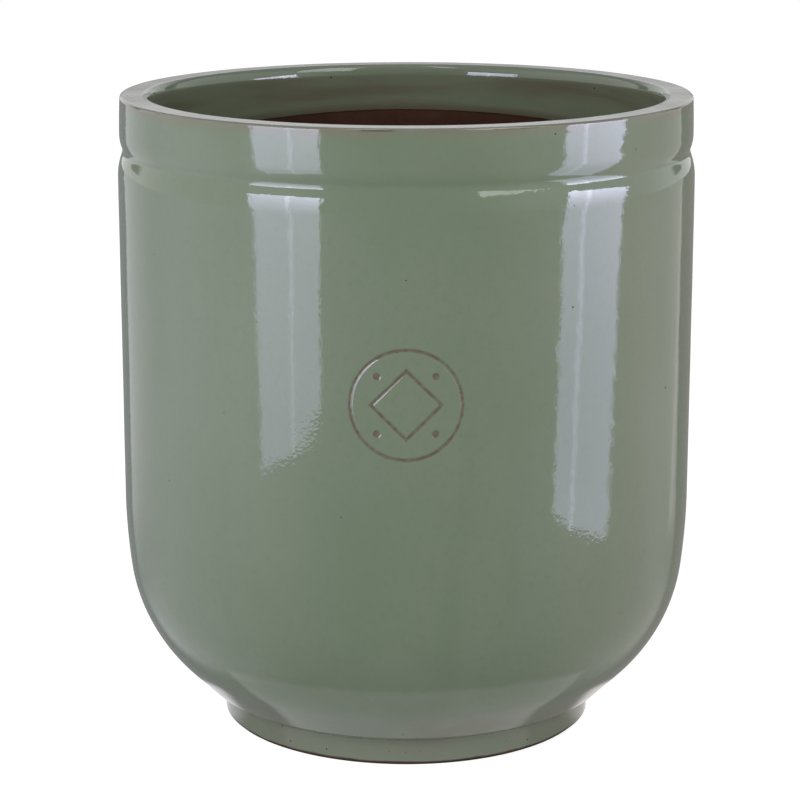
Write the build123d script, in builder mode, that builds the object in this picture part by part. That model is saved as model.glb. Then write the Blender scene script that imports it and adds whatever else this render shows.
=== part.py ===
# Tall round glazed planter: a thrown clay wall, a base slab and a turned foot ring, fired
# together, under three coats of glaze. Millimetres, +Z up. The origin is the centre of the
# foot's underside, and the seal on the front faces -Y.
from build123d import *
from math import cos, radians, sin
import os

# Overall sizes, measured over the glaze
POT_HEIGHT = 445.0
BODY_RADIUS = 200.0
GLAZE = 1.0  # thickness of a coat

# The outline is drawn on the bare clay, and a coat follows it, moved outwards. Slopes are in
# degrees from level: 90 is upright, less leans outwards, more leans inwards.
FOOT_RADIUS = 130.0
FOOT_EDGE = 2.5  # round of the foot's lower edges
FOOT_SLOPE = 87.0
FOOT_RUN = 14.8

LEDGE_FILLET = 3.5  # hollow corner where the body steps out over the foot
LEDGE_SLOPE = 25.0
LEDGE_RUN = 8.0
LIP_ROUND = 15.0  # from the ledge into the flank
FLANK_SLOPE = 45.0
BELLY_ROUND = 117.0
BELLY_SLOPE = 82.8
WALL_ROUND = 424.0
UPRIGHT = 90.0

GROOVE_LOWER_EDGE = 40.0  # rounds, slopes and runs of the groove turned under the rim
GROOVE_IN_SLOPE = 108.4
GROOVE_IN_RUN = 3.5
GROOVE_ROOT = 7.0
GROOVE_OUT_SLOPE = 70.0
GROOVE_OUT_RUN = 0.5
GROOVE_UPPER_EDGE = 24.0

BAND_ROUND = 428.0  # the rim band leans in a little towards the top
SEAM_SLOPE = 92.6  # where the body's coat meets the rim's coat
BAND_SLOPE = 93.3
RIM_OUTER_EDGE = 0.8
RIM_INNER_EDGE = 3.2
INNER_LIP_SLOPE = 254.0
INNER_LIP_ROUND = 20.0  # eases the inner edge into the upright inside
LEVEL = 180.0
DOWN = 270.0

# Inside
WALL = 20.6  # thickness of the clay
FLOOR_TOP = 34.0
FLOOR_BOTTOM = 8.0
FLOOR_FILLET = 30.0
FLOOR_RADIUS = 104.0  # the base slab, and the inside of the foot ring
DRAIN_RADIUS = 15.0
INNER_SEAM_DROP = 11.0  # below the rim, where the rim's coat meets the inner coat
INNER_GLAZE_DROP = 37.0  # below the rim, where the inner coat ends

# The seal on the front: a ring, a lozenge and four dots
SEAL_HEIGHT = 269.0
SEAL_RADIUS = 37.0
SEAL_LINE = 2.2
SEAL_DEPTH = 0.6
LOZENGE = 34.0  # side of the lozenge
DOT_RADIUS = 2.4
DOT_REACH = 26.5  # from the seal's centre to each dot


def heading(slope):
    """Direction of travel along the outline at a slope."""
    return Vector(cos(radians(slope)), sin(radians(slope)))


def outward(slope):
    """Direction out of the clay at a slope."""
    return Vector(sin(radians(slope)), -cos(radians(slope)))


def arc_gain(radius, start, end):
    """How far an arc travels outwards and upwards between two slopes."""
    side = 1 if end > start else -1
    out = side * radius * (sin(radians(end)) - sin(radians(start)))
    up = side * radius * (cos(radians(start)) - cos(radians(end)))
    return Vector(out, up)


# Places along the clay's outline that follow from the sizes above
CLAY_TOP = POT_HEIGHT - GLAZE
CLAY_RADIUS = BODY_RADIUS - GLAZE
INNER_RADIUS = CLAY_RADIUS - WALL
FOOT_START = Vector(FOOT_RADIUS - FOOT_EDGE, 0) + arc_gain(FOOT_EDGE, 0, FOOT_SLOPE)
FOOT_TOP = FOOT_START + heading(FOOT_SLOPE) * FOOT_RUN

LEDGE_GAIN = (
    arc_gain(LEDGE_FILLET, FOOT_SLOPE, LEDGE_SLOPE)
    + heading(LEDGE_SLOPE) * LEDGE_RUN
    + arc_gain(LIP_ROUND, LEDGE_SLOPE, FLANK_SLOPE)
)
BELLY_GAIN = arc_gain(BELLY_ROUND, FLANK_SLOPE, BELLY_SLOPE) + arc_gain(WALL_ROUND, BELLY_SLOPE, UPRIGHT)
FLANK_START = FOOT_TOP + LEDGE_GAIN
FLANK_RUN = (CLAY_RADIUS - BELLY_GAIN.X - FLANK_START.X) / cos(radians(FLANK_SLOPE))
WALL_START = FLANK_START + heading(FLANK_SLOPE) * FLANK_RUN + BELLY_GAIN

GROOVE_GAIN = (
    arc_gain(GROOVE_LOWER_EDGE, UPRIGHT, GROOVE_IN_SLOPE)
    + heading(GROOVE_IN_SLOPE) * GROOVE_IN_RUN
    + arc_gain(GROOVE_ROOT, GROOVE_IN_SLOPE, GROOVE_OUT_SLOPE)
    + heading(GROOVE_OUT_SLOPE) * GROOVE_OUT_RUN
    + arc_gain(GROOVE_UPPER_EDGE, GROOVE_OUT_SLOPE, UPRIGHT)
)
BAND_GAIN = arc_gain(BAND_ROUND, UPRIGHT, BAND_SLOPE) + arc_gain(RIM_OUTER_EDGE, BAND_SLOPE, LEVEL)
WALL_TOP = CLAY_TOP - GROOVE_GAIN.Y - BAND_GAIN.Y
SEAM = Vector(CLAY_RADIUS, WALL_TOP) + GROOVE_GAIN + arc_gain(BAND_ROUND, UPRIGHT, SEAM_SLOPE)
INNER_EDGE_GAIN = arc_gain(RIM_INNER_EDGE, LEVEL, INNER_LIP_SLOPE)
INNER_LIP_GAIN = INNER_EDGE_GAIN + arc_gain(INNER_LIP_ROUND, INNER_LIP_SLOPE, DOWN)


def bend(before, radius, turn):
    """An arc that carries on from a line. A positive turn goes to the left, round the clay."""
    return JernArc(start=before @ 1, tangent=before % 1, radius=radius, arc_size=turn)


def foot_side(coat):
    """The side of the foot, from its rounded lower edge to the ledge."""
    move = outward(FOOT_SLOPE) * coat
    return Line(FOOT_START + move, FOOT_TOP + move)


def body_side(coat):
    """The outside of the body, from the ledge over the foot to the seam under the rim."""
    fillet = JernArc(
        start=FOOT_TOP + outward(FOOT_SLOPE) * coat,
        tangent=heading(FOOT_SLOPE),
        radius=LEDGE_FILLET - coat,
        arc_size=LEDGE_SLOPE - FOOT_SLOPE,
    )
    ledge = PolarLine(fillet @ 1, LEDGE_RUN, LEDGE_SLOPE)
    lip = bend(ledge, LIP_ROUND + coat, FLANK_SLOPE - LEDGE_SLOPE)
    flank = PolarLine(lip @ 1, FLANK_RUN, FLANK_SLOPE)
    belly = bend(flank, BELLY_ROUND + coat, BELLY_SLOPE - FLANK_SLOPE)
    curve = bend(belly, WALL_ROUND + coat, UPRIGHT - BELLY_SLOPE)
    wall = Line(curve @ 1, (CLAY_RADIUS + coat, WALL_TOP))
    lower_edge = bend(wall, GROOVE_LOWER_EDGE + coat, GROOVE_IN_SLOPE - UPRIGHT)
    into = PolarLine(lower_edge @ 1, GROOVE_IN_RUN, GROOVE_IN_SLOPE)
    root = bend(into, GROOVE_ROOT - coat, GROOVE_OUT_SLOPE - GROOVE_IN_SLOPE)
    out_of = PolarLine(root @ 1, GROOVE_OUT_RUN, GROOVE_OUT_SLOPE)
    upper_edge = bend(out_of, GROOVE_UPPER_EDGE + coat, UPRIGHT - GROOVE_OUT_SLOPE)
    return bend(upper_edge, BAND_ROUND + coat, SEAM_SLOPE - UPRIGHT)


def rim_side(coat):
    """Over the rim, from the seam on its band to the seam inside it."""
    band = JernArc(
        start=SEAM + outward(SEAM_SLOPE) * coat,
        tangent=heading(SEAM_SLOPE),
        radius=BAND_ROUND + coat,
        arc_size=BAND_SLOPE - SEAM_SLOPE,
    )
    outer_edge = bend(band, RIM_OUTER_EDGE + coat, LEVEL - BAND_SLOPE)
    top = Line(outer_edge @ 1, (INNER_RADIUS - INNER_LIP_GAIN.X, CLAY_TOP + coat))
    inner_edge = bend(top, RIM_INNER_EDGE + coat, INNER_LIP_SLOPE - LEVEL)
    inner_lip = bend(inner_edge, INNER_LIP_ROUND + coat, DOWN - INNER_LIP_SLOPE)
    down = Line(inner_lip @ 1, (INNER_RADIUS - coat, CLAY_TOP - INNER_SEAM_DROP))
    return band, down


def inside(start):
    """Down the bare inside, from the seam inside the rim to the floor."""
    upright = Line(start, (INNER_RADIUS, WALL_START.Y))
    curve = bend(upright, WALL_ROUND - WALL, BELLY_SLOPE - UPRIGHT)
    belly = bend(curve, BELLY_ROUND - WALL, FLANK_SLOPE - BELLY_SLOPE)
    fillet_drop = FLOOR_FILLET * (1 - cos(radians(FLANK_SLOPE)))
    drop = (belly @ 1).Y - FLOOR_TOP - fillet_drop
    flank = PolarLine(belly @ 1, drop / sin(radians(FLANK_SLOPE)), FLANK_SLOPE + LEVEL)
    return bend(flank, FLOOR_FILLET, -FLANK_SLOPE)


os.makedirs("parts", exist_ok=True)

# Foot ring, which the pot stands on
with BuildPart() as foot_ring:
    with BuildSketch(Plane.XZ):
        with BuildLine():
            side = foot_side(0)
            top = Line(side @ 1, (FLOOR_RADIUS, FOOT_TOP.Y))
            bore = Line(top @ 1, (FLOOR_RADIUS, FOOT_EDGE))
            inner_edge = bend(bore, FOOT_EDGE, UPRIGHT)
            underside = Line(inner_edge @ 1, (FOOT_RADIUS - FOOT_EDGE, 0))
            bend(underside, FOOT_EDGE, FOOT_SLOPE)
        make_face()
    revolve(axis=Axis.Z)
foot_ring.part.label = "foot_ring"
export_step(foot_ring.part, "parts/foot_ring.step")

# Base slab, raised above the ground inside the foot ring, with the drainage hole
with BuildPart() as clay_floor:
    with BuildSketch(Plane.XY.offset(FLOOR_BOTTOM)):
        Circle(FLOOR_RADIUS)
        Circle(DRAIN_RADIUS, mode=Mode.SUBTRACT)
    extrude(amount=FLOOR_TOP - FLOOR_BOTTOM)
clay_floor.part.label = "clay_floor"
export_step(clay_floor.part, "parts/clay_floor.step")

# Thrown wall, from the ledge over the foot to the rim
with BuildPart() as clay_wall:
    with BuildSketch(Plane.XZ):
        with BuildLine():
            body_side(0)
            band, down = rim_side(0)
            floor_fillet = inside(down @ 1)
            Polyline(floor_fillet @ 1, (FLOOR_RADIUS, FLOOR_TOP), (FLOOR_RADIUS, FOOT_TOP.Y), FOOT_TOP)
        make_face()
    revolve(axis=Axis.Z)
clay_wall.part.label = "clay_wall"
export_step(clay_wall.part, "parts/clay_wall.step")

# The seal's strokes, as deep as they are pressed into the body's coat
with BuildPart() as seal_strokes:
    with BuildSketch(Plane.XZ.offset(CLAY_RADIUS - GROOVE_ROOT)):
        with Locations((0, SEAL_HEIGHT)):
            Circle(SEAL_RADIUS)
            Circle(SEAL_RADIUS - SEAL_LINE, mode=Mode.SUBTRACT)
            Rectangle(LOZENGE, LOZENGE, rotation=45)
            Rectangle(LOZENGE - 2 * SEAL_LINE, LOZENGE - 2 * SEAL_LINE, rotation=45, mode=Mode.SUBTRACT)
            with PolarLocations(DOT_REACH, 4, start_angle=45):
                Circle(DOT_RADIUS)
    extrude(amount=2 * GROOVE_ROOT)
    with Locations((0, 0, SEAL_HEIGHT)):
        Cylinder(BODY_RADIUS - SEAL_DEPTH, 4 * SEAL_RADIUS, mode=Mode.SUBTRACT)

# Body's coat, from the foot's lower edge to the seam under the rim
with BuildPart() as outer_glaze:
    with BuildSketch(Plane.XZ):
        with BuildLine():
            glazed_foot = foot_side(GLAZE)
            glazed_body = body_side(GLAZE)
            bare_foot = foot_side(0)
            bare_body = body_side(0)
            Line(bare_foot @ 0, glazed_foot @ 0)
            Line(glazed_body @ 1, bare_body @ 1)
        make_face()
    revolve(axis=Axis.Z)
    add(seal_strokes.part, mode=Mode.SUBTRACT)
outer_glaze.part.label = "outer_glaze"
export_step(outer_glaze.part, "parts/outer_glaze.step")

# Rim's coat
with BuildPart() as rim_glaze:
    with BuildSketch(Plane.XZ):
        with BuildLine():
            glazed_band, glazed_down = rim_side(GLAZE)
            bare_band, bare_down = rim_side(0)
            Line(bare_band @ 0, glazed_band @ 0)
            Line(glazed_down @ 1, bare_down @ 1)
        make_face()
    revolve(axis=Axis.Z)
rim_glaze.part.label = "rim_glaze"
export_step(rim_glaze.part, "parts/rim_glaze.step")

# Inner coat, a band inside the mouth that stops above the bare clay
with BuildPart() as inner_glaze:
    with BuildSketch(Plane.XY.offset(CLAY_TOP - INNER_GLAZE_DROP)):
        Circle(INNER_RADIUS)
        Circle(INNER_RADIUS - GLAZE, mode=Mode.SUBTRACT)
    extrude(amount=INNER_GLAZE_DROP - INNER_SEAM_DROP)
inner_glaze.part.label = "inner_glaze"
export_step(inner_glaze.part, "parts/inner_glaze.step")
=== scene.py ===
from math import atan2, ceil, cos, hypot, pi, radians, sin

import bmesh
import bpy
import numpy as np
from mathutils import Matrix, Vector, noise


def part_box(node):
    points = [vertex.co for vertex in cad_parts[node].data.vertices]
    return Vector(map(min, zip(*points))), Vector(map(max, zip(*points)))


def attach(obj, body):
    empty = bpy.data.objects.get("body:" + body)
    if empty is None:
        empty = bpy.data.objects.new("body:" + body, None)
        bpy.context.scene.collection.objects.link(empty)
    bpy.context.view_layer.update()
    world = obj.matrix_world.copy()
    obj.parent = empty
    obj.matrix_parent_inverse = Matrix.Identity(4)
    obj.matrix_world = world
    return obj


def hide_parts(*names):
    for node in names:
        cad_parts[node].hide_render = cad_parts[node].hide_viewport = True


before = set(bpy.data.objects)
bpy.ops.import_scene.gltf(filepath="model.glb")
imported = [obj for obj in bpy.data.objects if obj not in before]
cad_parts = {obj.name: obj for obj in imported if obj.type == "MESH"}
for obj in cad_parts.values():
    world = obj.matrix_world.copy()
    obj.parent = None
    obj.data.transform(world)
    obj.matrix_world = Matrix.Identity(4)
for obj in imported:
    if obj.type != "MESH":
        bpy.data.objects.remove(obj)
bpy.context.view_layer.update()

MM = 0.001

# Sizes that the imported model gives
_, coat_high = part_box("outer_glaze")
_, rim_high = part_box("rim_glaze")
inner_low, inner_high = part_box("inner_glaze")
_, wall_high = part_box("clay_wall")
slab_low, slab_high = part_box("clay_floor")
_, foot_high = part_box("foot_ring")

GLAZE = rim_high.z - wall_high.z
CLAY_TOP = wall_high.z
CLAY_RADIUS = coat_high.x - GLAZE
INNER_RADIUS = inner_high.x
FOOT_TOP_RADIUS = foot_high.x
FOOT_TOP = foot_high.z
FLOOR_RADIUS = slab_high.x

# The outline's slopes, in degrees from level, with the rounds and runs between them. 90 is
# upright, less leans outwards and more leans inwards.
FOOT_EDGE, FOOT_SLOPE, FOOT_RUN = 2.5 * MM, 87.0, 14.8 * MM
LEDGE_FILLET, LEDGE_SLOPE, LEDGE_RUN = 3.5 * MM, 25.0, 8.0 * MM
LIP_ROUND, FLANK_SLOPE = 15.0 * MM, 45.0
BELLY_ROUND, BELLY_SLOPE = 117.0 * MM, 82.8
WALL_ROUND, UPRIGHT = 424.0 * MM, 90.0
GROOVE_LOWER_EDGE, GROOVE_IN_SLOPE, GROOVE_IN_RUN = 40.0 * MM, 108.4, 3.5 * MM
GROOVE_ROOT, GROOVE_OUT_SLOPE, GROOVE_OUT_RUN = 7.0 * MM, 70.0, 0.5 * MM
GROOVE_UPPER_EDGE = 24.0 * MM
BAND_ROUND, SEAM_SLOPE, BAND_SLOPE = 428.0 * MM, 92.6, 93.3
RIM_OUTER_EDGE, RIM_INNER_EDGE, LEVEL = 0.8 * MM, 3.2 * MM, 180.0
INNER_LIP_ROUND, INNER_LIP_SLOPE, DOWN = 20.0 * MM, 254.0, 270.0
FLOOR_FILLET = 30.0 * MM
DRAIN_RADIUS = 15.0 * MM
DRAIN_ROUND = 2.5 * MM
PIT_CELL = 14.0 * MM  # one pinhole at most in each cell of this size

# The seal on the front
SEAL_HEIGHT = 269.0 * MM
SEAL_RADIUS = 37.0 * MM
SEAL_LINE = 2.2 * MM
SEAL_DEPTH = 0.6 * MM
LOZENGE = 34.0 * MM
DOT_RADIUS = 2.4 * MM
DOT_REACH = 26.5 * MM
STROKE_EDGE = 0.7 * MM  # width of a stroke's soft edge

# The studio, as radiances where 1 is white
PANEL_REACH = 0.6
PANEL_COLOUR = (0.82, 0.81, 1.06)
SEAM_GAIN, SEAM_WIDTH, SEAM_OFFSET = 1.4, 22 * MM, 5 * MM
RAGGED, RAG_STEP = 40 * MM, 2.2 * MM  # how ragged the panels' upright edges are, and how finely
ROOM_AT_EYE, ROOM_OVERHEAD = 0.9, 0.12
FLOOR_LIGHT = 0.8
FLOOR_SIZE = 6.0
FLOOR_TONES = (0.97, 0.97, 1.05), (1.02, 0.95, 0.93)  # to the left and to the right
PANELS = (
    (
        "left_panel",
        ((-0.811, -0.611, 0.0), (-0.651, -1.095, 0.0), (-0.655, -1.08, 0.82), (-0.841, -0.521, 0.67)),
        (3.75, 5.3, 1.6), 0.5,
    ),
    (
        "right_panel",
        ((0.683, -0.512, 0.0), (0.702, -0.178, 0.0), (0.707, -0.079, 0.505), (0.689, -0.412, 0.62)),
        (3.95, 11.3, 2.8), 0.35,
    ),
)
LAMPS = (
    ("front_right_lamp", (28, 57), (20, 60), 1.7, 4.5),
    ("high_left_lamp", (-34, -20), (50, 77), 1.7, 5.0),
)
FILLS = (
    ("left_fill", (-1.5, -1.5, 1.2), 1.2, 3.6),
    ("right_fill", (1.6, -1.4, 1.2), 1.2, 2.6),
)

# Where the room is light in the glaze. Turns from the front are in radians, and ups are sines of
# the height. Each is given as (starts, full, still full, ends).
FROM_BELOW = (-2.0, -1.9)
ROOM_SIDES = ((0.2, 1.15, 2.25, 2.35), (*FROM_BELOW, 0.5, 0.8), 1.05)
ROOM_PAST_SIDES = ((2.25, 2.35, 2.47, 2.53), (*FROM_BELOW, 0.03, 0.05), 0.9)
ROOM_BACK_CORNERS = ((2.47, 2.53, 2.85, 2.95), (*FROM_BELOW, 0.3, 0.6), 0.85)
ROOM_BACK = ((2.85, 2.95, 4.0, 4.1), (*FROM_BELOW, 0.2, 0.7))
ROOM_BACK_RISE = (0.09, 0.145, 0.24, 0.72)
CEILING = (0.6, 0.95, 0.24, 0.54)

# The dark wedge on the floor behind the pot: its edges' slopes and starts, left and right
WEDGE_SLOPES, WEDGE_STARTS, WEDGE_LIGHT = (1.67, 1.2), (0.37, 0.27), 0.3

CAMERA_LENS, SENSOR = 119.26, 36.0
CAMERA_PLACE = (0.0, -1.83495, 0.658215)
CAMERA_DOWN, CAMERA_TURN = 13.261, 0.1405  # degrees

# Mesh spacing
WALL_STEP = 3.5 * MM
EDGE_STEP = 0.9 * MM
HIDDEN_STEP = 12.0 * MM
COLUMNS = 360
SEAL_CUTS = 4
SHARP = 50  # degrees between faces, past which an edge is sharp


# ---------------------------------------------------------------- outlines

def heading(slope):
    """Direction of travel along an outline at a slope, as (out, up)."""
    return np.array((cos(radians(slope)), sin(radians(slope))))


def outward(slope):
    """Direction out of the clay at a slope, as (out, up)."""
    return np.array((sin(radians(slope)), -cos(radians(slope))))


def arc_gain(radius, start, end):
    """How far an arc travels outwards and upwards between two slopes."""
    side = 1 if end > start else -1
    return side * radius * (outward(end) - outward(start))


class Outline:
    """Points (radius, height) along a section, each with its direction out of the material."""

    def __init__(self, start, slope, coat=0.0):
        self.coat = coat
        self.slope = slope
        self.points = [np.array(start) + outward(slope) * coat]
        self.normals = [outward(slope)]

    def run(self, length, step=WALL_STEP):
        start = self.points[-1]
        count = max(1, ceil(length / step))
        for i in range(1, count + 1):
            self.points.append(start + heading(self.slope) * length * i / count)
            self.normals.append(outward(self.slope))
        return self

    def arc(self, radius, slope, step=EDGE_STEP):
        """Turns to a new slope on an arc, given by its radius on the bare clay."""
        side = 1 if slope > self.slope else -1
        radius = radius + side * self.coat
        centre = self.points[-1] - side * radius * outward(self.slope)
        count = max(4, ceil(radius * radians(abs(slope - self.slope)) / step))
        for i in range(1, count + 1):
            at = self.slope + (slope - self.slope) * i / count
            self.points.append(centre + side * radius * outward(at))
            self.normals.append(outward(at))
        self.slope = slope
        return self

    def to_height(self, height, step=WALL_STEP):
        return self.run((height - self.points[-1][1]) / sin(radians(self.slope)), step)


foot_start = np.array((FOOT_TOP_RADIUS, FOOT_TOP)) - heading(FOOT_SLOPE) * FOOT_RUN
ledge_gain = (
    arc_gain(LEDGE_FILLET, FOOT_SLOPE, LEDGE_SLOPE)
    + heading(LEDGE_SLOPE) * LEDGE_RUN
    + arc_gain(LIP_ROUND, LEDGE_SLOPE, FLANK_SLOPE)
)
belly_gain = (
    arc_gain(BELLY_ROUND, FLANK_SLOPE, BELLY_SLOPE)
    + arc_gain(WALL_ROUND, BELLY_SLOPE, UPRIGHT)
)
flank_run = (
    (CLAY_RADIUS - FOOT_TOP_RADIUS - ledge_gain[0] - belly_gain[0])
    / cos(radians(FLANK_SLOPE))
)
wall_start = FOOT_TOP + ledge_gain[1] + heading(FLANK_SLOPE)[1] * flank_run + belly_gain[1]
groove_gain = (
    arc_gain(GROOVE_LOWER_EDGE, UPRIGHT, GROOVE_IN_SLOPE)
    + heading(GROOVE_IN_SLOPE) * GROOVE_IN_RUN
    + arc_gain(GROOVE_ROOT, GROOVE_IN_SLOPE, GROOVE_OUT_SLOPE)
    + heading(GROOVE_OUT_SLOPE) * GROOVE_OUT_RUN
    + arc_gain(GROOVE_UPPER_EDGE, GROOVE_OUT_SLOPE, UPRIGHT)
)
band_gain = arc_gain(BAND_ROUND, UPRIGHT, BAND_SLOPE) + arc_gain(RIM_OUTER_EDGE, BAND_SLOPE, LEVEL)
lip_gain = (
    arc_gain(RIM_INNER_EDGE, LEVEL, INNER_LIP_SLOPE)
    + arc_gain(INNER_LIP_ROUND, INNER_LIP_SLOPE, DOWN)
)
wall_top = CLAY_TOP - groove_gain[1] - band_gain[1]
seam = np.array((CLAY_RADIUS, wall_top)) + groove_gain + arc_gain(BAND_ROUND, UPRIGHT, SEAM_SLOPE)
inner_seam = inner_high.z


def foot_side(coat, step):
    return Outline(foot_start, FOOT_SLOPE, coat).run(FOOT_RUN, step)


def body_side(line, step, edge):
    """Carries a foot's side on, over the body to the seam under the rim."""
    line.arc(LEDGE_FILLET, LEDGE_SLOPE, edge).run(LEDGE_RUN, edge).arc(LIP_ROUND, FLANK_SLOPE, edge)
    line.run(flank_run, step).arc(BELLY_ROUND, BELLY_SLOPE, step).arc(WALL_ROUND, UPRIGHT, step)
    line.to_height(wall_top, step)
    line.arc(GROOVE_LOWER_EDGE, GROOVE_IN_SLOPE, edge).run(GROOVE_IN_RUN, edge)
    line.arc(GROOVE_ROOT, GROOVE_OUT_SLOPE, edge).run(GROOVE_OUT_RUN, edge)
    return line.arc(GROOVE_UPPER_EDGE, UPRIGHT, edge).arc(BAND_ROUND, SEAM_SLOPE, step)


def rim_side(coat, step, edge):
    """Over the rim, from the seam on its band to the seam inside it."""
    line = Outline(seam, SEAM_SLOPE, coat).arc(BAND_ROUND, BAND_SLOPE, step)
    line.arc(RIM_OUTER_EDGE, LEVEL, edge)
    line.run(line.points[-1][0] - INNER_RADIUS + lip_gain[0], step)
    line.arc(RIM_INNER_EDGE, INNER_LIP_SLOPE, edge).arc(INNER_LIP_ROUND, DOWN, edge)
    return line.run(line.points[-1][1] - inner_seam, step)


def inside(step):
    """Down the bare inside, from the seam inside the rim to the floor."""
    line = Outline((INNER_RADIUS, inner_seam), DOWN)
    line.run(inner_seam - wall_start, step)
    wall = CLAY_RADIUS - INNER_RADIUS
    line.arc(WALL_ROUND - wall, LEVEL + BELLY_SLOPE, step)
    line.arc(BELLY_ROUND - wall, LEVEL + FLANK_SLOPE, step)
    fillet_drop = FLOOR_FILLET * (1 - cos(radians(FLANK_SLOPE)))
    line.run((line.points[-1][1] - slab_high.z - fillet_drop) / sin(radians(FLANK_SLOPE)), step)
    return line.arc(FLOOR_FILLET, LEVEL, step)


# ---------------------------------------------------------------- relief

def wave(azimuth, height, size, seed, stretch=1.0):
    """Smooth noise from -1 to 1 over the surface, with lumps of a size, stretched sideways."""
    at = Vector((CLAY_RADIUS * sin(azimuth), -CLAY_RADIUS * cos(azimuth), height * stretch))
    return noise.noise(at / (size * stretch) + Vector((seed, 2.7 * seed, -seed)))


def glazed_relief(azimuth, height):
    """How far the glaze stands out of its outline: an uneven body and slow runs in the coat."""
    body = 0.25 * MM * wave(azimuth, height, 220 * MM, 1.0)
    throwing = 0.05 * MM * wave(azimuth, height, 24 * MM, 2.0, stretch=6.0)
    runs = (
        0.1 * MM * wave(azimuth, height, 50 * MM, 3.0)
        + 0.014 * MM * wave(azimuth, height, 11 * MM, 4.0)
    )
    return body + throwing + runs


def thrown_relief(azimuth, height):
    """The bare inside: rings left by the potter's fingers, which climb as a spiral."""
    pitch = 11 * MM
    turn = 2 * pi * height / pitch + azimuth + 1.5 * wave(azimuth, height, 160 * MM, 5.0)
    depth = 0.45 + 0.25 * wave(azimuth, height, 90 * MM, 6.0)
    return MM * depth * (sin(turn) - 0.4) * 0.5 + 0.15 * MM * wave(azimuth, height, 18 * MM, 7.0)


def slab_relief(azimuth, height):
    """The slab, patted flat by hand."""
    return 0.25 * MM * wave(azimuth, height, 60 * MM, 10.0)


def smooth(value, low, high):
    """0 below low, 1 above high and a smooth step between."""
    t = min(1.0, max(0.0, (value - low) / (high - low)))
    return t * t * (3 - 2 * t)


def stroke(distance, half_width):
    """1 in the middle of a stroke and 0 outside it, from the distance to its middle."""
    return 1 - smooth(distance, half_width - STROKE_EDGE / 2, half_width + STROKE_EDGE / 2)


def seal_depth(across, up):
    """Share of the seal's depth at a place on the front, measured from the seal's centre."""
    ring = stroke(abs(hypot(across, up) - SEAL_RADIUS + SEAL_LINE / 2), SEAL_LINE / 2)
    reach = (LOZENGE - SEAL_LINE) / 2
    lozenge = stroke(abs(abs(across) + abs(up) - reach * 2**0.5) / 2**0.5, SEAL_LINE / 2)
    dot = DOT_REACH / 2**0.5
    dots = stroke(hypot(abs(across) - dot, abs(up) - dot), DOT_RADIUS)
    return max(ring, lozenge, dots)


# ---------------------------------------------------------------- meshes

def build_turned(name, points, normals, weights, columns, relief, shift=None):
    """A closed ring of a closed section. Each point has the share of the relief that it takes."""
    rows = len(points)
    place = np.zeros((columns, rows, 3))
    for j in range(columns):
        azimuth = 2 * pi * j / columns
        for i, (point, normal, weight) in enumerate(zip(points, normals, weights)):
            out = relief(azimuth, point[1]) * weight if weight else 0.0
            radius = point[0] + out * normal[0]
            height = point[1] + out * normal[1] + (shift(azimuth, i) if shift else 0.0)
            place[j, i] = (radius * sin(azimuth), -radius * cos(azimuth), height)
    faces = []
    for j in range(columns):
        k = (j + 1) % columns
        for i in range(rows):
            n = (i + 1) % rows
            faces.append((j * rows + i, k * rows + i, k * rows + n, j * rows + n))
    mesh = bpy.data.meshes.new(name)
    mesh.from_pydata(place.reshape(-1, 3).tolist(), [], faces)
    mesh.validate()
    piece = bpy.data.objects.new(name, mesh)
    bpy.context.scene.collection.objects.link(piece)
    return piece


def close_section(front, back):
    """Joins a visible line and the line behind it, which comes back the other way."""
    points = front.points + back.points[::-1]
    normals = front.normals + back.normals[::-1]
    weights = [1.0] * len(front.points) + [0.0] * len(back.points)
    return points, normals, weights


def finish_mesh(piece):
    """Turns every face outwards and shades the piece smooth, except over sharp edges."""
    mesh = bmesh.new()
    mesh.from_mesh(piece.data)
    bmesh.ops.recalc_face_normals(mesh, faces=mesh.faces)
    mesh.to_mesh(piece.data)
    mesh.free()
    piece.data.shade_smooth()
    piece.data.set_sharp_from_angle(angle=radians(SHARP))


def make_piece(name, node, material):
    piece = bpy.data.objects[name]
    piece.data.materials.append(material)
    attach(piece, "root")
    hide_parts(node)


def press_seal(piece):
    """Divides the coat finely in front of the seal, and presses the seal's strokes into it."""
    window = SEAL_RADIUS + 4 * MM
    front = CLAY_RADIUS * 0.5

    def near(vertex):
        x, y, z = vertex.co
        out = hypot(x, y)
        in_window = abs(x) < window and abs(z - SEAL_HEIGHT) < window
        return y < -front and in_window and out > CLAY_RADIUS + GLAZE / 2

    mesh = bmesh.new()
    mesh.from_mesh(piece.data)
    chosen = [face for face in mesh.faces if all(near(v) for v in face.verts)]
    edges = list({edge for face in chosen for edge in face.edges})
    bmesh.ops.subdivide_edges(mesh, edges=edges, cuts=SEAL_CUTS, use_grid_fill=True)
    pressed = mesh.verts.layers.float.new("pressed")
    for vertex in mesh.verts:
        x, y, z = vertex.co
        if not near(vertex):
            continue
        azimuth = atan2(x, -y)
        share = seal_depth(CLAY_RADIUS * azimuth, z - SEAL_HEIGHT)
        radius = CLAY_RADIUS + GLAZE + glazed_relief(azimuth, z) - SEAL_DEPTH * share
        vertex.co = (radius * sin(azimuth), -radius * cos(azimuth), z)
        vertex[pressed] = share
    mesh.to_mesh(piece.data)
    mesh.free()


# ---------------------------------------------------------------- material nodes

def new_material(name):
    material = bpy.data.materials.new(name)
    material.use_nodes = True
    nodes = material.node_tree.nodes
    return material, nodes, material.node_tree.links, nodes["Principled BSDF"]


def object_position(nodes):
    return nodes.new("ShaderNodeTexCoord").outputs["Object"]


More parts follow.
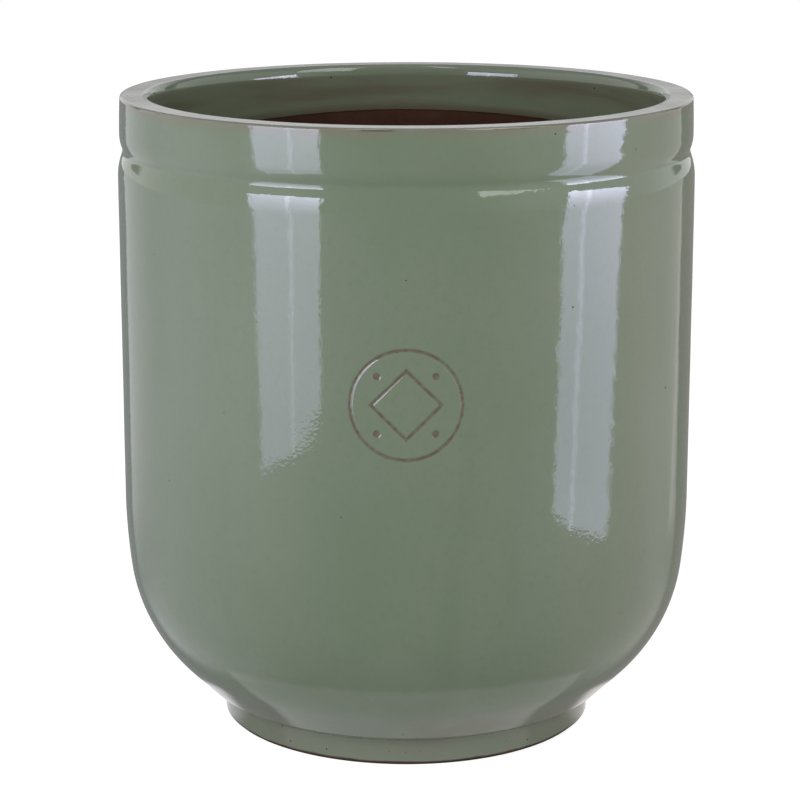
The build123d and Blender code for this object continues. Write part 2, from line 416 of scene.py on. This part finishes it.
def noise_node(nodes, links, position, size, detail=2.0, roughness=0.5, stretch=(1, 1, 1)):
    """Noise with lumps of about a size in metres, from 0 to 1."""
    mapping = nodes.new("ShaderNodeMapping")
    mapping.inputs["Scale"].default_value = stretch
    links.new(position, mapping.inputs["Vector"])
    texture = nodes.new("ShaderNodeTexNoise")
    texture.inputs["Scale"].default_value = 1 / size
    texture.inputs["Detail"].default_value = detail
    texture.inputs["Roughness"].default_value = roughness
    links.new(mapping.outputs["Vector"], texture.inputs["Vector"])
    return texture.outputs["Fac"]


def ramp(nodes, links, value, low, high, to_low=0.0, to_high=1.0):
    """Maps low..high to to_low..to_high, clamped, with smooth ends."""
    node = nodes.new("ShaderNodeMapRange")
    node.interpolation_type = "SMOOTHSTEP"
    for name, number in (
        ("From Min", low), ("From Max", high), ("To Min", to_low), ("To Max", to_high),
    ):
        node.inputs[name].default_value = number
    links.new(value, node.inputs["Value"])
    return node.outputs["Result"]


def math_node(nodes, links, kind, first, second=0.0):
    node = nodes.new("ShaderNodeMath")
    node.operation = kind
    for socket, value in zip(node.inputs, (first, second)):
        if isinstance(value, (int, float)):
            socket.default_value = value
        else:
            links.new(value, socket)
    return node.outputs["Value"]


def mix(nodes, links, factor, first, second):
    """Mixes two colours, each a tuple or a socket."""
    node = nodes.new("ShaderNodeMix")
    node.data_type = "RGBA"
    links.new(factor, node.inputs["Factor"])
    for socket, value in ((node.inputs[6], first), (node.inputs[7], second)):
        if isinstance(value, tuple):
            socket.default_value = (*value, 1.0)
        else:
            links.new(value, socket)
    return node.outputs[2]


def height_of(nodes, links, position):
    split = nodes.new("ShaderNodeSeparateXYZ")
    links.new(position, split.inputs["Vector"])
    return split.outputs["Z"]


def azimuth_of(nodes, links, position):
    """Angle round the pot's axis in radians, 0 at the front."""
    split = nodes.new("ShaderNodeSeparateXYZ")
    links.new(position, split.inputs["Vector"])
    back = math_node(nodes, links, "MULTIPLY", split.outputs["Y"], -1)
    return math_node(nodes, links, "ARCTAN2", split.outputs["X"], back)


def bump(nodes, links, height, distance, normal=None):
    node = nodes.new("ShaderNodeBump")
    node.inputs["Distance"].default_value = distance
    links.new(height, node.inputs["Height"])
    if normal is not None:
        links.new(normal, node.inputs["Normal"])
    return node.outputs["Normal"]


SAGE = (0.188, 0.240, 0.165)
SAGE_DEEP = (0.164, 0.218, 0.144)
SAGE_PALE = (0.203, 0.252, 0.180)
# grey laid on the rim's flat as a painted reflection of the bright room
RIM_REFLECTION_GREY = (0.235, 0.245, 0.218)
TAN = (0.225, 0.208, 0.155)
BROWN_GLAZE = (0.15, 0.12, 0.085)
# brown of the thin coat inside the mouth, also laid over it as painted shade
BROWN_AND_SHADE_INSIDE = (0.115, 0.1, 0.068)
OLIVE = (0.188, 0.185, 0.135)
FOOT_GREY = (0.216, 0.236, 0.18)
IRON = (0.045, 0.028, 0.016)
# The clay's tones are darkened far below fired clay's own, as painted shade for the dim inside of the
# pot.
CLAY = (0.07, 0.029, 0.017)
CLAY_DARK_AND_SHADE = (0.039, 0.016, 0.010)
CLAY_PALE = (0.11, 0.053, 0.033)


def glaze_material(name, thin_masks):
    """Sage glaze: mottled, another tone where a mask says so, with pinholes and an uneven gloss."""
    material, nodes, links, shader = new_material(name)
    position = object_position(nodes)
    slow = noise_node(nodes, links, position, 0.16, 3.0)
    streaks = noise_node(nodes, links, position, 0.05, 3.0, stretch=(1, 1, 0.25))
    fine = noise_node(nodes, links, position, 0.005, 4.0, 0.7)
    colour = mix(nodes, links, ramp(nodes, links, slow, 0.35, 0.65), SAGE, SAGE_PALE)
    colour = mix(nodes, links, ramp(nodes, links, streaks, 0.5, 0.75, 0.0, 0.4), colour, SAGE_DEEP)
    colour = mix(nodes, links, ramp(nodes, links, fine, 0.45, 0.8, 0.0, 0.5), colour, SAGE_DEEP)
    surface = Surface(nodes, links, position)
    for make_mask, tone in thin_masks:
        colour = mix(nodes, links, make_mask(surface), colour, tone)

    pit = pinholes(surface)
    colour = mix(nodes, links, pit, colour, IRON)
    links.new(colour, shader.inputs["Base Color"])

    peel = noise_node(nodes, links, position, 0.0024, 1.0)
    lumps = noise_node(nodes, links, position, 0.011, 1.0)
    normal = bump(nodes, links, peel, 0.03 * MM)
    normal = bump(nodes, links, lumps, 0.035 * MM, normal)
    holes = math_node(nodes, links, "SUBTRACT", 1.0, pit)
    normal = bump(nodes, links, holes, 0.4 * MM, normal)
    links.new(normal, shader.inputs["Normal"])
    gloss = ramp(nodes, links, fine, 0.3, 0.8, 0.025, 0.05)
    links.new(gloss, shader.inputs["Roughness"])
    shader.inputs["IOR"].default_value = 1.52
    return material


class Surface:
    """Places on the pot as sockets: height, radius, and the coat unrolled to a flat sheet."""

    def __init__(self, nodes, links, position):
        self.nodes, self.links, self.position = nodes, links, position
        split = nodes.new("ShaderNodeSeparateXYZ")
        links.new(position, split.inputs["Vector"])
        self.x, self.y, self.height = split.outputs
        squares = [self.math("POWER", value, 2) for value in (self.x, self.y)]
        self.radius = self.math("SQRT", self.math("ADD", *squares))
        self.azimuth = azimuth_of(nodes, links, position)
        sheet = nodes.new("ShaderNodeCombineXYZ")
        links.new(self.math("MULTIPLY", self.azimuth, CLAY_RADIUS), sheet.inputs["X"])
        links.new(self.math("ADD", self.radius, self.height), sheet.inputs["Y"])
        self.sheet = sheet.outputs["Vector"]

    def math(self, kind, first, second=0.0):
        return math_node(self.nodes, self.links, kind, first, second)

    def times(self, first, second):
        return self.math("MULTIPLY", first, second)

    def ramp(self, value, low, high, to_low=0.0, to_high=1.0):
        return ramp(self.nodes, self.links, value, low, high, to_low, to_high)

    def noise(self, size, detail=2.0, roughness=0.5, stretch=(1, 1, 1), on_sheet=False):
        place = self.sheet if on_sheet else self.position
        return noise_node(self.nodes, self.links, place, size, detail, roughness, stretch)


def pinholes(surface):
    """A few cells of the unrolled coat hold one small dark pit each, more of them near the foot."""
    cells = surface.nodes.new("ShaderNodeTexVoronoi")
    cells.voronoi_dimensions = "2D"
    cells.inputs["Scale"].default_value = 1 / PIT_CELL
    surface.links.new(surface.sheet, cells.inputs["Vector"])
    split = surface.nodes.new("ShaderNodeSeparateColor")
    surface.links.new(cells.outputs["Color"], split.inputs["Color"])
    near_foot = surface.ramp(surface.height, 0.034, 0.026, 0.0, 0.34)
    chosen = surface.ramp(surface.math("ADD", split.outputs["Red"], near_foot), 0.985, 0.99)
    size = surface.ramp(split.outputs["Green"], 0.0, 1.0, 0.03, 0.07)
    pit = surface.ramp(surface.math("DIVIDE", cells.outputs["Distance"], size), 1.0, 0.6)
    return surface.math("MULTIPLY", pit, chosen)


def pressed_mask(surface):
    """Where the seal's strokes thin the coat, a little patchy."""
    attribute = surface.nodes.new("ShaderNodeAttribute")
    attribute.attribute_name = "pressed"
    patchy = surface.ramp(surface.noise(0.004, 3.0), 0.35, 0.65, 0.55, 1.0)
    return surface.math("MULTIPLY", surface.ramp(attribute.outputs["Fac"], 0.25, 0.85), patchy)


def foot_mask(surface):
    """Brown line where the coat runs out at the bottom of the foot."""
    uneven = surface.noise(0.02, 2.0)
    wavy = surface.math("ADD", surface.height, surface.math("MULTIPLY", uneven, -0.002))
    return surface.ramp(wavy, 0.0028, 0.0016)


def ledge_mask(surface):
    """Olive patches around the ledge over the foot, where the glaze pooled over dark clay."""
    band = surface.ramp(surface.height, 0.055, 0.03)
    patches = surface.ramp(surface.noise(0.07, 2.0), 0.45, 0.62, 0.1, 0.7)
    return surface.math("MULTIPLY", band, patches)


def foot_side_mask(surface):
    """The foot's side, where the coat is a little thinner and duller."""
    return surface.ramp(surface.height, 0.026, 0.014, 0.0, 0.75)


def rim_flat_reflection_and_streaks_mask(surface):
    """Lighter grey over the whole flat of the rim, a painted reflection of the bright room, stronger in
    streaks brushed round it.
    """
    flat = surface.ramp(surface.height, rim_high.z - 0.0012, rim_high.z - 0.0005)
    streaks = surface.noise(0.004, 3.0, 0.6, stretch=(0.05, 1, 1), on_sheet=True)
    return surface.math("MULTIPLY", flat, surface.ramp(streaks, 0.35, 0.65, 0.45, 1.0))


def rim_edge_mask(surface):
    """Tan zone that starts at the rim's outer edge and fades downwards, where the coat is thin."""
    drop = surface.math("SUBTRACT", rim_high.z, surface.height)
    outside = surface.ramp(surface.radius, INNER_RADIUS + 0.008, INNER_RADIUS + 0.012)
    zone = surface.math(
        "MULTIPLY", surface.ramp(drop, 0.0004, 0.0007), surface.ramp(drop, 0.0095, 0.0005)
    )
    patchy = surface.ramp(surface.noise(0.03, 4.0, 0.6), 0.3, 0.65, 0.45, 1.0)
    return surface.math("MULTIPLY", surface.math("MULTIPLY", zone, outside), patchy)


def dark_edge_line_mask(surface):
    """Broken dark line just under the rim's outer edge."""
    drop = surface.math("SUBTRACT", rim_high.z, surface.height)
    line = surface.math(
        "MULTIPLY", surface.ramp(drop, 0.0009, 0.0012), surface.ramp(drop, 0.0019, 0.0015)
    )
    broken = surface.ramp(surface.noise(0.05, 3.0), 0.52, 0.6, 0.0, 0.7)
    outside = surface.ramp(surface.radius, INNER_RADIUS + 0.008, INNER_RADIUS + 0.012)
    return surface.math("MULTIPLY", surface.math("MULTIPLY", line, outside), broken)


def shade_and_rings_mask(surface):
    """Painted shade inside the mouth: a brownish tone over the whole coat there, never under 0.35 of
    the brown, with level zones where the rings of the clay show through a thin coat.
    """
    zones = surface.noise(0.02, 3.0, stretch=(0.12, 0.12, 1.2))
    return surface.ramp(zones, 0.34, 0.7, 0.35, 0.85)


def rim_inside_shade_and_rings_mask(surface):
    """The same painted shade and brownish zones on the rim's inner side, growing darker from the flat
    down into the mouth.
    """
    drop = surface.math("SUBTRACT", rim_high.z, surface.height)
    inwards = surface.ramp(surface.radius, INNER_RADIUS + 0.008, INNER_RADIUS + 0.004)
    return surface.times(
        shade_and_rings_mask(surface), surface.times(inwards, surface.ramp(drop, -0.002, 0.011))
    )


def thin_end_mask(surface):
    """Brown lower edge of the inner coat, where it ran out."""
    attribute = surface.nodes.new("ShaderNodeAttribute")
    attribute.attribute_name = "thin"
    return surface.ramp(attribute.outputs["Fac"], 0.1, 1.0, 0.0, 0.8)


def clay_material(name):
    """Bare fired clay: reddish brown, matt, grogged, with all its tones darkened as painted shade for
    the dim inside of the pot, and darker in level bands painted as shade in the hollows between the
    rings.
    """
    material, nodes, links, shader = new_material(name)
    position = object_position(nodes)
    patches = noise_node(nodes, links, position, 0.09, 4.0, 0.6)
    rings = noise_node(nodes, links, position, 0.03, 3.0, stretch=(0.15, 0.15, 3.0))
    grit = noise_node(nodes, links, position, 0.0016, 3.0, 0.8)
    colour = mix(nodes, links, ramp(nodes, links, patches, 0.35, 0.7), CLAY, CLAY_DARK_AND_SHADE)
    # painted shade in level bands, for the hollows between the rings
    colour = mix(nodes, links, ramp(nodes, links, rings, 0.5, 0.75, 0.0, 0.5), colour, CLAY_DARK_AND_SHADE)
    colour = mix(nodes, links, ramp(nodes, links, grit, 0.55, 0.75, 0.0, 0.6), colour, CLAY_PALE)
    links.new(colour, shader.inputs["Base Color"])
    normal = bump(nodes, links, grit, 0.25 * MM)
    normal = bump(nodes, links, noise_node(nodes, links, position, 0.008, 3.0), 0.4 * MM, normal)
    links.new(normal, shader.inputs["Normal"])
    links.new(ramp(nodes, links, patches, 0.3, 0.7, 0.72, 0.88), shader.inputs["Roughness"])
    shader.inputs["Specular IOR Level"].default_value = 0.12
    return material


# ---------------------------------------------------------------- pieces

def make_body_coat():
    """The coat over the outside, from the foot's lower edge to the seam under the rim."""
    front = body_side(foot_side(GLAZE, EDGE_STEP * 1.5), WALL_STEP, EDGE_STEP * 1.5)
    back = body_side(foot_side(0.0, HIDDEN_STEP), HIDDEN_STEP, HIDDEN_STEP)
    section = close_section(front, back)
    piece = build_turned("body_coat", *section, COLUMNS, glazed_relief)
    press_seal(piece)
    finish_mesh(piece)
    masks = (
        (ledge_mask, OLIVE),
        (foot_side_mask, FOOT_GREY),
        (foot_mask, IRON),
        (pressed_mask, BROWN_GLAZE),
    )
    material = glaze_material("sage_glaze_body", masks)
    make_piece("body_coat", "outer_glaze", material)


def make_rim_coat():
    """The coat over the rim and both its edges."""
    front = rim_side(GLAZE, EDGE_STEP, EDGE_STEP / 2)
    back = rim_side(0.0, HIDDEN_STEP, EDGE_STEP)
    piece = build_turned("rim_coat", *close_section(front, back), COLUMNS, glazed_relief)
    finish_mesh(piece)
    masks = (
        # the grey over the flat is a painted reflection
        (rim_flat_reflection_and_streaks_mask, RIM_REFLECTION_GREY),
        (rim_edge_mask, TAN),
        (dark_edge_line_mask, IRON),
        # painted shade on the rim's inner side, darker further down into the mouth
        (rim_inside_shade_and_rings_mask, BROWN_AND_SHADE_INSIDE),
    )
    material = glaze_material("sage_glaze_rim", masks)
    make_piece("rim_coat", "rim_glaze", material)


def make_inner_coat():
    """The band of coat inside the mouth. Its lower edge is rounded and runs up and down."""
    depth = inner_seam - inner_low.z
    front = Outline((INNER_RADIUS - GLAZE, inner_seam), DOWN).run(depth - GLAZE / 2, EDGE_STEP * 1.5)
    front.arc(GLAZE / 2, LEVEL + 2 * UPRIGHT, EDGE_STEP / 3)
    back = Outline((INNER_RADIUS, inner_seam), DOWN).run(depth, HIDDEN_STEP / 2)
    points, normals, weights = close_section(front, back)

    def lower_edge(azimuth):
        """How far the coat's lower edge stands over its mean height."""
        gentle = (
            0.8 * MM * wave(azimuth, 0.0, 80 * MM, 8.0)
            + 0.2 * MM * wave(azimuth, 0.0, 12 * MM, 9.0)
        )
        return 4.85 * MM * cos(2 * azimuth) - 0.85 * MM + gentle

    def run_down(azimuth, i):
        return smooth(inner_seam - points[i][1], depth * 0.2, depth) * lower_edge(azimuth)

    piece = build_turned(
        "inner_coat", points, normals, weights, 2 * COLUMNS, glazed_relief, run_down
    )
    thin = piece.data.attributes.new("thin", "FLOAT", "POINT")
    for vertex, value in zip(piece.data.vertices, thin.data):
        x, y, z = vertex.co
        value.value = 1 - smooth(z - inner_low.z - lower_edge(atan2(x, -y)), 0.0, 9 * MM)
    finish_mesh(piece)
    # the inside's coat is browned all over as painted shade, and at its lower edge where it ran out
    masks = ((shade_and_rings_mask, BROWN_AND_SHADE_INSIDE), (thin_end_mask, BROWN_AND_SHADE_INSIDE))
    material = glaze_material("sage_glaze_inside", masks)
    make_piece("inner_coat", "inner_glaze", material)


def make_wall(clay):
    """The thrown wall of bare clay, whose inside shows its rings."""
    front = inside(WALL_STEP)
    back = body_side(Outline((FOOT_TOP_RADIUS, FOOT_TOP), FOOT_SLOPE), HIDDEN_STEP, HIDDEN_STEP)
    over = rim_side(0.0, HIDDEN_STEP, HIDDEN_STEP)
    floor_end = front.points[-1]
    seat = [np.array((FLOOR_RADIUS, floor_end[1])), np.array((FLOOR_RADIUS, FOOT_TOP))]
    points = front.points[1:] + seat + back.points[:-1] + over.points
    normals = front.normals[1:] + [outward(LEVEL)] * 2 + back.normals[:-1] + over.normals
    count = len(front.points) - 1
    weights = [1.0] * count + [0.0] * (len(points) - count)
    piece = build_turned("clay_wall_thrown", points, normals, weights, COLUMNS, thrown_relief)
    finish_mesh(piece)
    make_piece("clay_wall_thrown", "clay_wall", clay)


def make_floor(clay):
    """The base slab, with the drainage hole cut through it."""
    top, bottom = slab_high.z, slab_low.z
    line = Outline((FLOOR_RADIUS, top), LEVEL).run(FLOOR_RADIUS - DRAIN_RADIUS - DRAIN_ROUND)
    line.arc(DRAIN_ROUND, DOWN).run(top - bottom - 2 * DRAIN_ROUND)
    line.arc(DRAIN_ROUND, LEVEL + 2 * UPRIGHT).run(FLOOR_RADIUS - DRAIN_RADIUS - DRAIN_ROUND)
    weights = [smooth(FLOOR_RADIUS - p[0], 0.0, 6 * MM) for p in line.points]
    piece = build_turned(
        "clay_floor_slab", line.points, line.normals, weights, COLUMNS // 2, slab_relief
    )
    finish_mesh(piece)
    make_piece("clay_floor_slab", "clay_floor", clay)


def make_foot(clay):
    """The foot ring that the pot stands on."""
    line = Outline((FLOOR_RADIUS + FOOT_EDGE, 0.0), 0.0)
    width = foot_start[0] - arc_gain(FOOT_EDGE, 0, FOOT_SLOPE)[0] - FLOOR_RADIUS - FOOT_EDGE
    line.run(width, EDGE_STEP * 2).arc(FOOT_EDGE, FOOT_SLOPE, EDGE_STEP / 2).run(FOOT_RUN)
    line.slope = LEVEL
    line.run(FOOT_TOP_RADIUS - FLOOR_RADIUS, HIDDEN_STEP / 2)
    line.slope = LEVEL + UPRIGHT
    line.run(FOOT_TOP - FOOT_EDGE, EDGE_STEP * 2).arc(FOOT_EDGE, 2 * LEVEL, EDGE_STEP / 2)
    points, normals = line.points[:-1], line.normals[:-1]
    piece = build_turned(
        "foot_ring_turned", points, normals, [0.0] * len(points), COLUMNS, thrown_relief
    )
    finish_mesh(piece)
    make_piece("foot_ring_turned", "foot_ring", clay)


# ---------------------------------------------------------------- studio

def stage_quad(name, corners, material, ragged=0.0):
    """A flat sheet of the set, which only the glaze mirrors. Its upright edges may be ragged."""
    foot_a, foot_b, top_b, top_a = [Vector(c) for c in corners]
    across = (foot_b - foot_a).normalized()
    rows = ceil((top_a - foot_a).length / RAG_STEP) if ragged else 1
    points = []
    for i in range(rows + 1):
        for foot, top, seed in ((foot_a, top_a, 3.0), (foot_b, top_b, 11.0)):
            shift = ragged * noise.noise(Vector((seed, i * 0.85, 0.5))) if ragged else 0.0
            points.append(foot.lerp(top, i / rows) + across * shift)
    mesh = bpy.data.meshes.new(name)
    faces = [(2 * i, 2 * i + 1, 2 * i + 3, 2 * i + 2) for i in range(rows)]
    mesh.from_pydata([tuple(p) for p in points], [], faces)
    mesh.materials.append(material)
    sheet = bpy.data.objects.new(name, mesh)
    bpy.context.scene.collection.objects.link(sheet)
    sheet.visible_camera = False
    sheet.visible_diffuse = False
    sheet.visible_shadow = False


def glow_material(name, colour, low, gain, power):
    """Light that grows with height: low at the floor and low + gain at PANEL_REACH."""
    material = bpy.data.materials.new(name)
    material.use_nodes = True
    nodes, links = material.node_tree.nodes, material.node_tree.links
    nodes.clear()
    height = height_of(nodes, links, object_position(nodes))
    share = math_node(
        nodes, links, "MAXIMUM", math_node(nodes, links, "DIVIDE", height, PANEL_REACH), 0.0
    )
    rise = math_node(nodes, links, "MULTIPLY", math_node(nodes, links, "POWER", share, power), gain)
    light = nodes.new("ShaderNodeEmission")
    light.inputs["Color"].default_value = (*colour, 1)
    links.new(math_node(nodes, links, "ADD", rise, low), light.inputs["Strength"])
    output = nodes.new("ShaderNodeOutputMaterial")
    links.new(light.outputs["Emission"], output.inputs["Surface"])
    return material


def make_panel(name, corners, glow, seam):
    """A standing diffuser, as its foot and top corners, with a bright seam at a share across."""
    foot_a, foot_b, top_b, top_a = [Vector(c) for c in corners]
    stage_quad(name, corners, glow_material(name, PANEL_COLOUR, *glow), RAGGED)
    low, gain, power = glow
    bright = glow_material(name + "_seam", PANEL_COLOUR, SEAM_GAIN * low, SEAM_GAIN * gain, power)
    inwards = -(foot_a + foot_b).normalized() * SEAM_OFFSET
    half = SEAM_WIDTH / 2 / (foot_b - foot_a).length
    strip = [
        foot_a.lerp(foot_b, seam - half) + inwards,
        foot_a.lerp(foot_b, seam + half) + inwards,
        top_a.lerp(top_b, seam + half) + inwards,
        top_a.lerp(top_b, seam - half) + inwards,
    ]
    stage_quad(name + "_seam", strip, bright, RAGGED / 2)


def make_lamp(name, azimuths, elevations, distance, radiance):
    """A lamp that fills a window of directions, in degrees, as seen from the rim."""
    corners = []
    low, high = elevations
    for azimuth, elevation in zip((*azimuths, *reversed(azimuths)), (low, low, high, high)):
        turn, lift = radians(azimuth), radians(elevation)
        out = distance * cos(lift)
        corners.append((out * sin(turn), -out * cos(turn), rim_high.z + distance * sin(lift)))
    stage_quad(name, corners, glow_material(name, (1, 1, 1), radiance, 0.0, 1.0))


def make_fill(name, place, size, radiance):
    """A square lamp that lights the clay and the coat's own colour, and is not mirrored."""
    lamp = bpy.data.lights.new(name, "AREA")
    lamp.size = size
    lamp.energy = radiance * pi * size**2
    fill = bpy.data.objects.new(name, lamp)
    fill.location = place
    aim = Vector((0, 0, CLAY_TOP / 2)) - fill.location
    fill.rotation_euler = aim.to_track_quat("-Z", "Y").to_euler()
    fill.visible_glossy = False
    bpy.context.scene.collection.objects.link(fill)


def make_world():
    """White behind the object, a room bright at eye level for the clay, and a dim one in the glaze."""
    world = bpy.data.worlds.new("studio")
    bpy.context.scene.world = world
    world.use_nodes = True
    nodes, links = world.node_tree.nodes, world.node_tree.links
    nodes.clear()
    direction = nodes.new("ShaderNodeTexCoord").outputs["Generated"]
    up = height_of(nodes, links, direction)
    diffuse = ramp(nodes, links, up, 0.0, 0.85, ROOM_AT_EYE, ROOM_OVERHEAD)
    turn = math_node(nodes, links, "ABSOLUTE", azimuth_of(nodes, links, direction))

    def patch(turns, ups, light):
        """Light that fades in and out over a range of turns and of ups."""
        for value, (start, full, still, end) in ((turn, turns), (up, ups)):
            for near, far in ((start, full), (end, still)):
                light = math_node(nodes, links, "MULTIPLY", light, ramp(nodes, links, value, near, far))
        return light

    mirrored = ramp(nodes, links, up, *CEILING)
    for light in (
        patch(*ROOM_SIDES),
        patch(*ROOM_PAST_SIDES),
        patch(*ROOM_BACK_CORNERS),
        patch(*ROOM_BACK, ramp(nodes, links, up, *ROOM_BACK_RISE)),
    ):
        mirrored = math_node(nodes, links, "ADD", mirrored, light)
    path = nodes.new("ShaderNodeLightPath")
    strength = diffuse
    for seen, value in (
        (path.outputs["Is Glossy Ray"], mirrored), (path.outputs["Is Camera Ray"], 1.0),
    ):
        choice = nodes.new("ShaderNodeMix")
        links.new(seen, choice.inputs["Factor"])
        links.new(strength, choice.inputs["A"])
        if isinstance(value, float):
            choice.inputs["B"].default_value = value
        else:
            links.new(value, choice.inputs["B"])
        strength = choice.outputs["Result"]
    background = nodes.new("ShaderNodeBackground")
    background.inputs["Color"].default_value = (1, 1, 1, 1)
    links.new(strength, background.inputs["Strength"])
    output = nodes.new("ShaderNodeOutputWorld")
    links.new(background.outputs["Background"], output.inputs["Surface"])


def floor_glow(surface):
    """What the glaze mirrors of the floor: bright to both sides, dim in front of and behind."""
    times, fade = surface.times, surface.ramp
    azimuth, radius = surface.azimuth, surface.radius
    left = times(fade(azimuth, -0.1, -1.15, 0.3, 1.45), fade(azimuth, -1.5, -2.1, 1.0, 0.68))
    right = times(fade(azimuth, 0.3, 1.25, 0.0, 0.9), fade(azimuth, 1.75, 2.1, 1.0, 0.66))
    near_foot = times(fade(radius, 0.17, 0.23, 0.65, 1.0), fade(radius, 0.2, 1.2, 0.62, 1.0))
    turned = fade(surface.math("ABSOLUTE", azimuth), 1.7, 2.1)
    close_behind = times(turned, fade(radius, 0.7, 0.35, 0.0, 0.25))
    near_foot = times(near_foot, surface.math("SUBTRACT", 1.0, close_behind))
    glow = times(surface.math("ADD", left, right), near_foot)

    # A dark wedge behind the pot, between two lines on the floor
    slope = fade(surface.x, -0.01, 0.01, *WEDGE_SLOPES)
    start = fade(surface.x, -0.01, 0.01, *WEDGE_STARTS)
    sideways = times(surface.math("ABSOLUTE", surface.x), slope)
    past = surface.math("SUBTRACT", surface.math("ADD", surface.y, start), sideways)
    wedge = fade(past, -0.03, 0.03)
    glow = surface.math("ADD", times(glow, fade(past, 0.03, -0.03)), times(wedge, WEDGE_LIGHT))
    rim_of_wedge = times(fade(past, -0.16, -0.12), fade(past, -0.05, -0.08))
    bright_line = times(rim_of_wedge, fade(surface.x, 0.5, 0.6, 0.0, 0.25))

    # A pool close round the back of the foot, and one in front of it
    at_foot = times(fade(radius, 0.165, 0.15), fade(surface.y, -0.06, -0.03, 0.0, 0.65))
    in_front = times(fade(radius, 0.21, 0.195), fade(surface.y, -0.098, -0.108, 0.0, 0.42))
    for share in (bright_line, at_foot, in_front):
        glow = surface.math("ADD", glow, share)
    return glow


def make_floor_plane():
    """A plain pale floor: nearly white to the camera, and dimmer with pools of light in the glaze."""
    material = bpy.data.materials.new("pale_floor")
    material.use_nodes = True
    nodes, links = material.node_tree.nodes, material.node_tree.links
    nodes.clear()
    diffuse = nodes.new("ShaderNodeBsdfDiffuse")
    diffuse.inputs["Color"].default_value = (0.8, 0.8, 0.8, 1)
    own_light = nodes.new("ShaderNodeEmission")
    own_light.inputs["Strength"].default_value = FLOOR_LIGHT
    to_camera = nodes.new("ShaderNodeAddShader")
    links.new(diffuse.outputs["BSDF"], to_camera.inputs[0])
    links.new(own_light.outputs["Emission"], to_camera.inputs[1])
    mirrored = nodes.new("ShaderNodeEmission")
    surface = Surface(nodes, links, object_position(nodes))
    links.new(floor_glow(surface), mirrored.inputs["Strength"])
    side = surface.ramp(surface.x, -0.3, 0.3)
    links.new(mix(nodes, links, side, *FLOOR_TONES), mirrored.inputs["Color"])
    path = nodes.new("ShaderNodeLightPath")
    shader = diffuse.outputs["BSDF"]
    for seen, other in (("Is Camera Ray", to_camera), ("Is Glossy Ray", mirrored)):
        choice = nodes.new("ShaderNodeMixShader")
        links.new(path.outputs[seen], choice.inputs[0])
        links.new(shader, choice.inputs[1])
        links.new(other.outputs[0], choice.inputs[2])
        shader = choice.outputs["Shader"]
    output = nodes.new("ShaderNodeOutputMaterial")
    links.new(shader, output.inputs["Surface"])
    mesh = bmesh.new()
    bmesh.ops.create_grid(mesh, x_segments=1, y_segments=1, size=FLOOR_SIZE)
    data = bpy.data.meshes.new("floor")
    mesh.to_mesh(data)
    mesh.free()
    data.materials.append(material)
    floor = bpy.data.objects.new("floor", data)
    bpy.context.scene.collection.objects.link(floor)


def make_lights():
    for panel in PANELS:
        make_panel(*panel)
    for lamp in LAMPS:
        make_lamp(*lamp)
    for fill in FILLS:
        make_fill(*fill)


def make_camera():
    """The camera stands in front of the pot and looks down at it a little."""
    camera = bpy.data.cameras.new("camera")
    camera.lens = CAMERA_LENS
    camera.sensor_width = SENSOR
    obj = bpy.data.objects.new("camera", camera)
    obj.location = CAMERA_PLACE
    obj.rotation_euler = (radians(90 - CAMERA_DOWN), 0.0, radians(CAMERA_TURN))
    bpy.context.scene.collection.objects.link(obj)
    bpy.context.scene.camera = obj


bpy.context.scene.view_settings.view_transform = "Standard"
make_body_coat()
make_rim_coat()
make_inner_coat()
bare_clay = clay_material("fired_clay_shaded")
make_wall(bare_clay)
make_floor(bare_clay)
make_foot(bare_clay)
make_world()
make_floor_plane()
make_lights()
make_camera()
